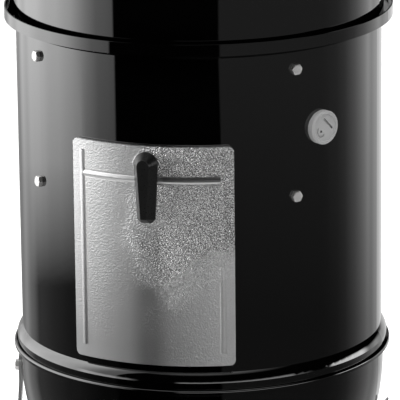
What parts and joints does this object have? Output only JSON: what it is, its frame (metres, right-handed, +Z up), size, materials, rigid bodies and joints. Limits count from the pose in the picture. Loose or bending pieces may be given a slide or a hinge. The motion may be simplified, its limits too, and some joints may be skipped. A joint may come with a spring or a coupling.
{
  "type": "vertical water smoker",
  "caption": "Bullet-shaped charcoal smoker with a domed lid, a chamber with a side door, grates and a water pan inside, and a charcoal bowl on legs.",
  "frame": {"origin": "on the floor, on the upright axis of the bowl, chamber and lid", "axes": "+Z up, the door and its knob face -Y, +X to the right of someone facing the door"},
  "size_m": [0.5077, 0.5186, 1.041],
  "materials": {
    "black_enamel": "glossy porcelain enamel",
    "hammered_aluminium": "hammered and embossed sheet",
    "raw_aluminium": "mill finish",
    "damper_aluminium": "satin",
    "black_nylon": "moulded, fine grain",
    "zinc_steel": "bright zinc plate",
    "plated_wire": "nickel-plated wire",
    "raw_steel": "uncoated sheet",
    "silicone": "matt silicone",
    "dark_bracket": "satin black",
    "clear_glass": "clear",
    "dial_face": "matt white",
    "needle_paint": "satin red"
  },
  "bodies": {
    "base": {"bowl_shell": "black_enamel", "bowl_damper_rivets": "zinc_steel", "leg_1": "raw_aluminium", "leg_2": "raw_aluminium", "leg_3": "raw_aluminium", "leg_bolts": "zinc_steel", "leg_nuts": "zinc_steel", "ash_shield": "raw_aluminium", "ash_shield_screws": "zinc_steel"},
    "charcoal_grate": {"charcoal_grate": "plated_wire"},
    "charcoal_ring": {"charcoal_ring": "raw_steel"},
    "bowl_damper_1": {"bowl_damper_1": "damper_aluminium"},
    "bowl_damper_2": {"bowl_damper_2": "damper_aluminium"},
    "bowl_damper_3": {"bowl_damper_3": "damper_aluminium"},
    "chamber": {"chamber_wall": "black_enamel", "grate_strap_1": "zinc_steel", "grate_strap_2": "zinc_steel", "grate_strap_3": "zinc_steel", "grate_strap_4": "zinc_steel", "strap_bolts": "zinc_steel", "strap_nuts": "zinc_steel", "probe_grommet": "silicone"},
    "top_grate": {"top_grate": "plated_wire", "top_grate_handles": "plated_wire"},
    "lower_grate": {"lower_grate": "plated_wire", "lower_grate_handles": "plated_wire"},
    "water_pan": {"water_pan": "black_enamel"},
    "door": {"door_panel": "hammered_aluminium", "door_hooks": "zinc_steel"},
    "door_latch": {"door_knob": "black_nylon", "door_latch_spindle": "zinc_steel", "door_latch_tongue": "zinc_steel"},
    "lid": {"lid_shell": "black_enamel", "lid_damper_rivet": "zinc_steel", "lid_handle_bracket": "dark_bracket", "lid_handle_screws": "zinc_steel", "lid_handle_nuts": "zinc_steel", "lid_handle_grip": "black_nylon", "lid_grip_screws": "zinc_steel", "thermometer_case": "zinc_steel", "thermometer_lens": "clear_glass", "thermometer_dial": "dial_face", "thermometer_stem": "zinc_steel", "thermometer_nut": "zinc_steel"},
    "lid_damper": {"lid_damper": "damper_aluminium"},
    "thermometer_needle": {"thermometer_needle": "needle_paint"}
  },
  "joints": [
    {"name": "chamber_lift", "type": "slide", "parent": "base", "child": "chamber", "axis": [0, 0, 1], "range_m": [0, 0.3]},
    {"name": "lid_lift", "type": "slide", "parent": "chamber", "child": "lid", "axis": [0, 0, 1], "range_m": [0, 0.25]},
    {"name": "top_grate_lift", "type": "slide", "parent": "chamber", "child": "top_grate", "axis": [0, 0, 1], "range_m": [0, 0.06]},
    {"name": "lower_grate_lift", "type": "slide", "parent": "chamber", "child": "lower_grate", "axis": [0, 0, 1], "range_m": [0, 0.11]},
    {"name": "water_pan_lift", "type": "slide", "parent": "chamber", "child": "water_pan", "axis": [0, 0, 1], "range_m": [0, 0.012]},
    {"name": "charcoal_grate_lift", "type": "slide", "parent": "base", "child": "charcoal_grate", "axis": [0, 0, 1], "range_m": [0, 0.02]},
    {"name": "charcoal_ring_lift", "type": "slide", "parent": "charcoal_grate", "child": "charcoal_ring", "axis": [0, 0, 1], "range_m": [0, 0.03]},
    {"name": "door_tilt", "type": "hinge", "parent": "chamber", "child": "door", "pos_m": [0, -0.2435, 0.3765], "axis": [1, 0, 0], "range_deg": [0, 35]},
    {"name": "door_latch_turn", "type": "hinge", "parent": "door", "child": "door_latch", "pos_m": [0, -0.2425, 0.64], "axis": [0, -1, 0], "range_deg": [0, 180]},
    {"name": "bowl_damper_1_turn", "type": "hinge", "parent": "base", "child": "bowl_damper_1", "pos_m": [-0.06285, -0.20054, 0.20504], "axis": [-0.2508, -0.8003, -0.5446], "range_deg": [0, 60]},
    {"name": "bowl_damper_2_turn", "type": "hinge", "parent": "base", "child": "bowl_damper_2", "pos_m": [0.2051, 0.04584, 0.20504], "axis": [0.8185, 0.183, -0.5446], "range_deg": [0, 60]},
    {"name": "bowl_damper_3_turn", "type": "hinge", "parent": "base", "child": "bowl_damper_3", "pos_m": [-0.14225, 0.1547, 0.20504], "axis": [-0.5677, 0.6173, -0.5446], "range_deg": [0, 60]},
    {"name": "lid_damper_turn", "type": "hinge", "parent": "lid", "child": "lid_damper", "pos_m": [0, 0.13312, 0.96157], "axis": [0, 0.342, 0.9397], "range_deg": [0, 60]},
    {"name": "thermometer_needle_turn", "type": "hinge", "parent": "lid", "child": "thermometer_needle", "pos_m": [0, -0.15831, 0.9514], "axis": [0, -0.4067, 0.9135], "range_deg": [-270, 0]}
  ]
}
